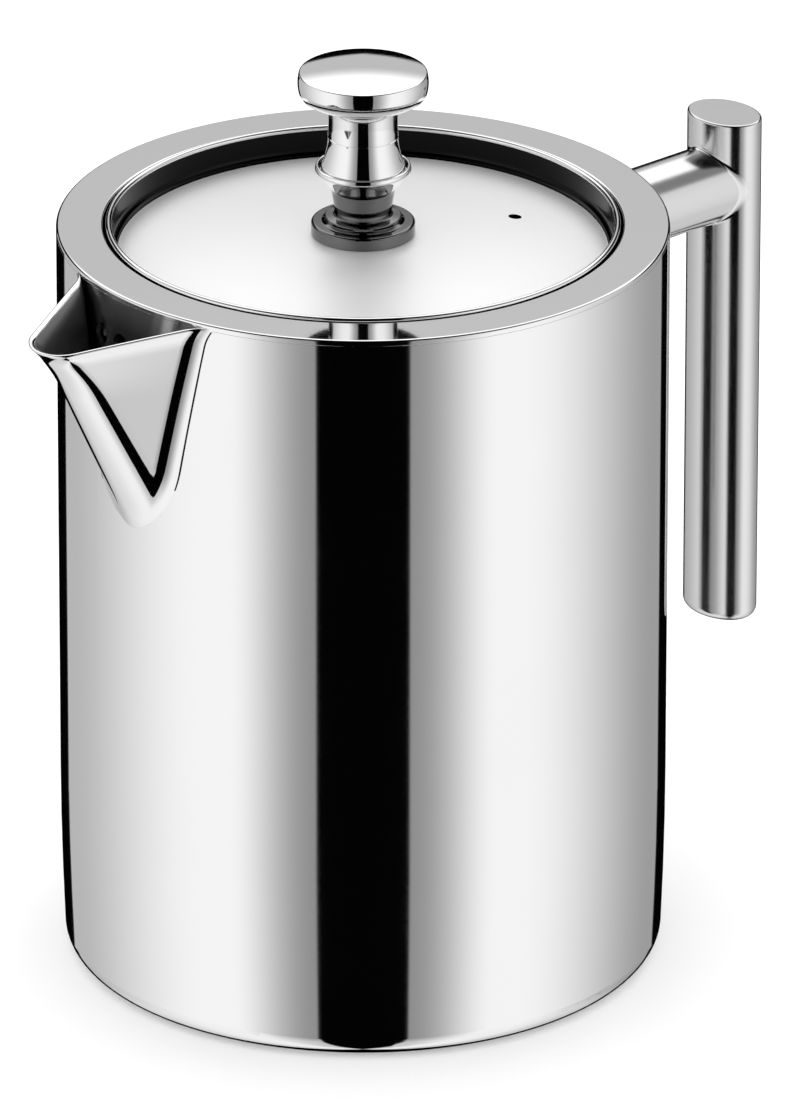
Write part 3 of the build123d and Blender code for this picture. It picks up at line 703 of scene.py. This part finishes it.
def spout_outline(height, inset):
    """Half of a level section of the beak, from the pot's wall to the tip, inset by part of the sheet."""
    share = (SPOUT_TOP_Z - height) / (SPOUT_TOP_Z - SPOUT_APEX_Z)
    straight = mix(SPOUT_TIP_R, BODY_R, share)
    tip = BODY_R + SPOUT_BLEND * log(1 + exp(min(40.0, (straight - BODY_R) / SPOUT_BLEND)))
    turn_out = max(0.0, 1 - (SPOUT_TOP_Z - height) / SPOUT_LIP_DEPTH)
    tip += SPOUT_LIP * turn_out**2 - inset
    nose_r = mix(SPOUT_NOSE_R, SPOUT_KEEL_R, share) + SPOUT_LIP_ROUNDER * turn_out**2 - inset
    flare = SPOUT_FLARE + inset
    nose = Vector((nose_r - tip, 0))
    side = Vector((-sin(SPOUT_VEE), cos(SPOUT_VEE)))
    back = Vector((cos(SPOUT_VEE), sin(SPOUT_VEE)))
    touch = nose + side * nose_r
    lane = touch + side * flare
    reach = BODY_R + flare
    inside = lane.dot(back)**2 - lane.length_squared + reach**2
    run = -lane.dot(back) - sqrt(inside) if inside > 0 else -1
    if run >= 0:
        centre = lane + back * run
        flare_end = centre - side * flare
    else:
        # low down the flare runs straight into the nose
        along = (reach**2 + nose.x**2 - (nose_r + flare)**2) / (2 * abs(nose.x))
        centre = Vector((-along, sqrt(max(SPOUT_LEAST, reach**2 - along**2)))).normalized() * reach
        touch = nose + (centre - nose).normalized() * nose_r
        flare_end = touch
    wall_end = centre * (BODY_R / reach)
    points = sweep_arc(centre, wall_end, flare_end, 14)
    points += [flare_end.lerp(touch, i / 10) for i in range(1, 10)]
    points += sweep_arc(nose, touch, Vector((-tip, 0)), 16)
    root_r = BODY_R - SPOUT_ROOT
    return [p if p.length > root_r else p.normalized() * root_r for p in points]


def sweep_arc(centre, start, end, steps):
    """Points of the shorter arc from start to end about a centre."""
    first = atan2(start.y - centre.y, start.x - centre.x)
    swing = (atan2(end.y - centre.y, end.x - centre.x) - first + pi) % (2 * pi) - pi
    radius = (start - centre).length
    turns = [first + swing * i / steps for i in range(steps + 1)]
    return [Vector((centre.x + radius * cos(t), centre.y + radius * sin(t))) for t in turns]


def spout_ring(height, inset):
    """A whole section of the beak, its tip dipped near the top and its foot sunk into the wall."""
    half = spout_outline(height, inset)
    other = [Vector((p.x, -p.y)) for p in reversed(half[:-1])]
    level = ramp(height, SPOUT_TOP_Z - 15, SPOUT_TOP_Z)
    dip = SPOUT_TOP_DIP * level / (SPOUT_TIP_R - BODY_R)
    sink = SPOUT_SINK * (1 - ramp(height, SPOUT_APEX_Z - SPOUT_FOOT, SPOUT_APEX_Z + 1))
    kept = 1 - sink / BODY_R
    return [(p.x * kept, p.y * kept, height - dip * max(0.0, p.length - BODY_R)) for p in half + other]


def on_seam(point):
    return point[2] > SPOUT_SEAM_Z["plus_y" if point[1] > 0 else "minus_y"]


def add_spout():
    """The beak: outside up, round the lip, and inside down, each level a ring from wall to wall."""
    lip_r = SPOUT_SHEET / 2
    lip_z = SPOUT_TOP_Z - lip_r
    low = SPOUT_APEX_Z - SPOUT_FOOT
    levels = 70
    lip_steps = 10
    outside = [low + (lip_z - low) * i / levels for i in range(levels + 1)]
    rings = [spout_ring(height, 0) for height in outside]
    for i in range(1, lip_steps):
        t = pi * i / lip_steps
        rings.append(spout_ring(lip_z + lip_r * sin(t), lip_r * (1 - cos(t))))
    rings += [spout_ring(height, SPOUT_SHEET) for height in reversed(outside)]
    columns = len(rings[0])
    points = [point for ring in rings for point in ring]
    faces = grid_faces(len(rings), columns, True, True)
    beak = finish_mesh("spout_beak", points, faces, "pot", ["spout"],
                       "polished_steel", 60)
    # the inside is satin and painted a darker grey as painted shade, and the joint with the pot shows as a
    # thin dark line
    inside = points[columns * (levels + lip_steps):]
    edges = [point for ring in rings[:levels + 1] for point in (ring[0], ring[1], ring[-2], ring[-1])]
    beak.data.materials.append(MATERIALS["spout_inside_painted_shade"])
    beak.data.materials.append(MATERIALS["painted_shade_and_dark_joint"])
    give_faces(beak, inside, 1)
    give_faces(beak, [point for point in edges if on_seam(point)], 2)


def give_faces(piece, points, slot):
    """Gives a material to the faces whose corners are all among the points."""
    same_place = 0.01
    tree = KDTree(len(points))
    for i, point in enumerate(points):
        tree.insert(point, i)
    tree.balance()
    for polygon in piece.data.polygons:
        corners = [piece.data.vertices[v].co / MM for v in polygon.vertices]
        if all(tree.find(corner)[2] < same_place for corner in corners):
            polygon.material_index = slot


# ---- Filter's edge spring ------------------------------------------------------------------------
def add_edge_spring():
    """A closed coil of wire round the filter's edge."""
    low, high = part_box("edge_spring")
    outer_r = high.x / MM
    coil_r = (high.z - low.z) / 2 / MM
    wire_r = 0.34
    middle_r = outer_r - coil_r
    middle_z = (high.z + low.z) / 2 / MM
    per_turn = 12
    steps = 300 * per_turn
    sides = 6
    points = []
    for i in range(steps):
        round_pot = 2 * pi * i / steps
        wind = 2 * pi * i / per_turn
        out = Vector((cos(round_pot), sin(round_pot), 0))
        arm = out * cos(wind) + Vector((0, 0, sin(wind)))
        along = Vector((-sin(round_pot), cos(round_pot), 0))
        centre = out * middle_r + Vector((0, 0, middle_z)) + arm * (coil_r - wire_r)
        points += [centre + (arm * x + along * y) * wire_r for x, y in circle(sides)]
    faces = grid_faces(steps, sides, True, True)
    finish_mesh("edge_spring_coil", points, faces, "filter", ["edge_spring"],
                "spring_wire", 80)


give_cad_nodes_their_steel()
add_rim()
add_lid()
add_bush()
add_knob()
add_grip()
add_arm()
add_weld("pot_weld", "arm_weld_bead", "pot", 1.25)
add_weld("grip_weld", "grip_weld_bead", "grip", 0.65)
add_spout()
add_edge_spring()
add_camera()
add_tent()
add_world()
add_floor()
scene.view_settings.view_transform = "Standard"
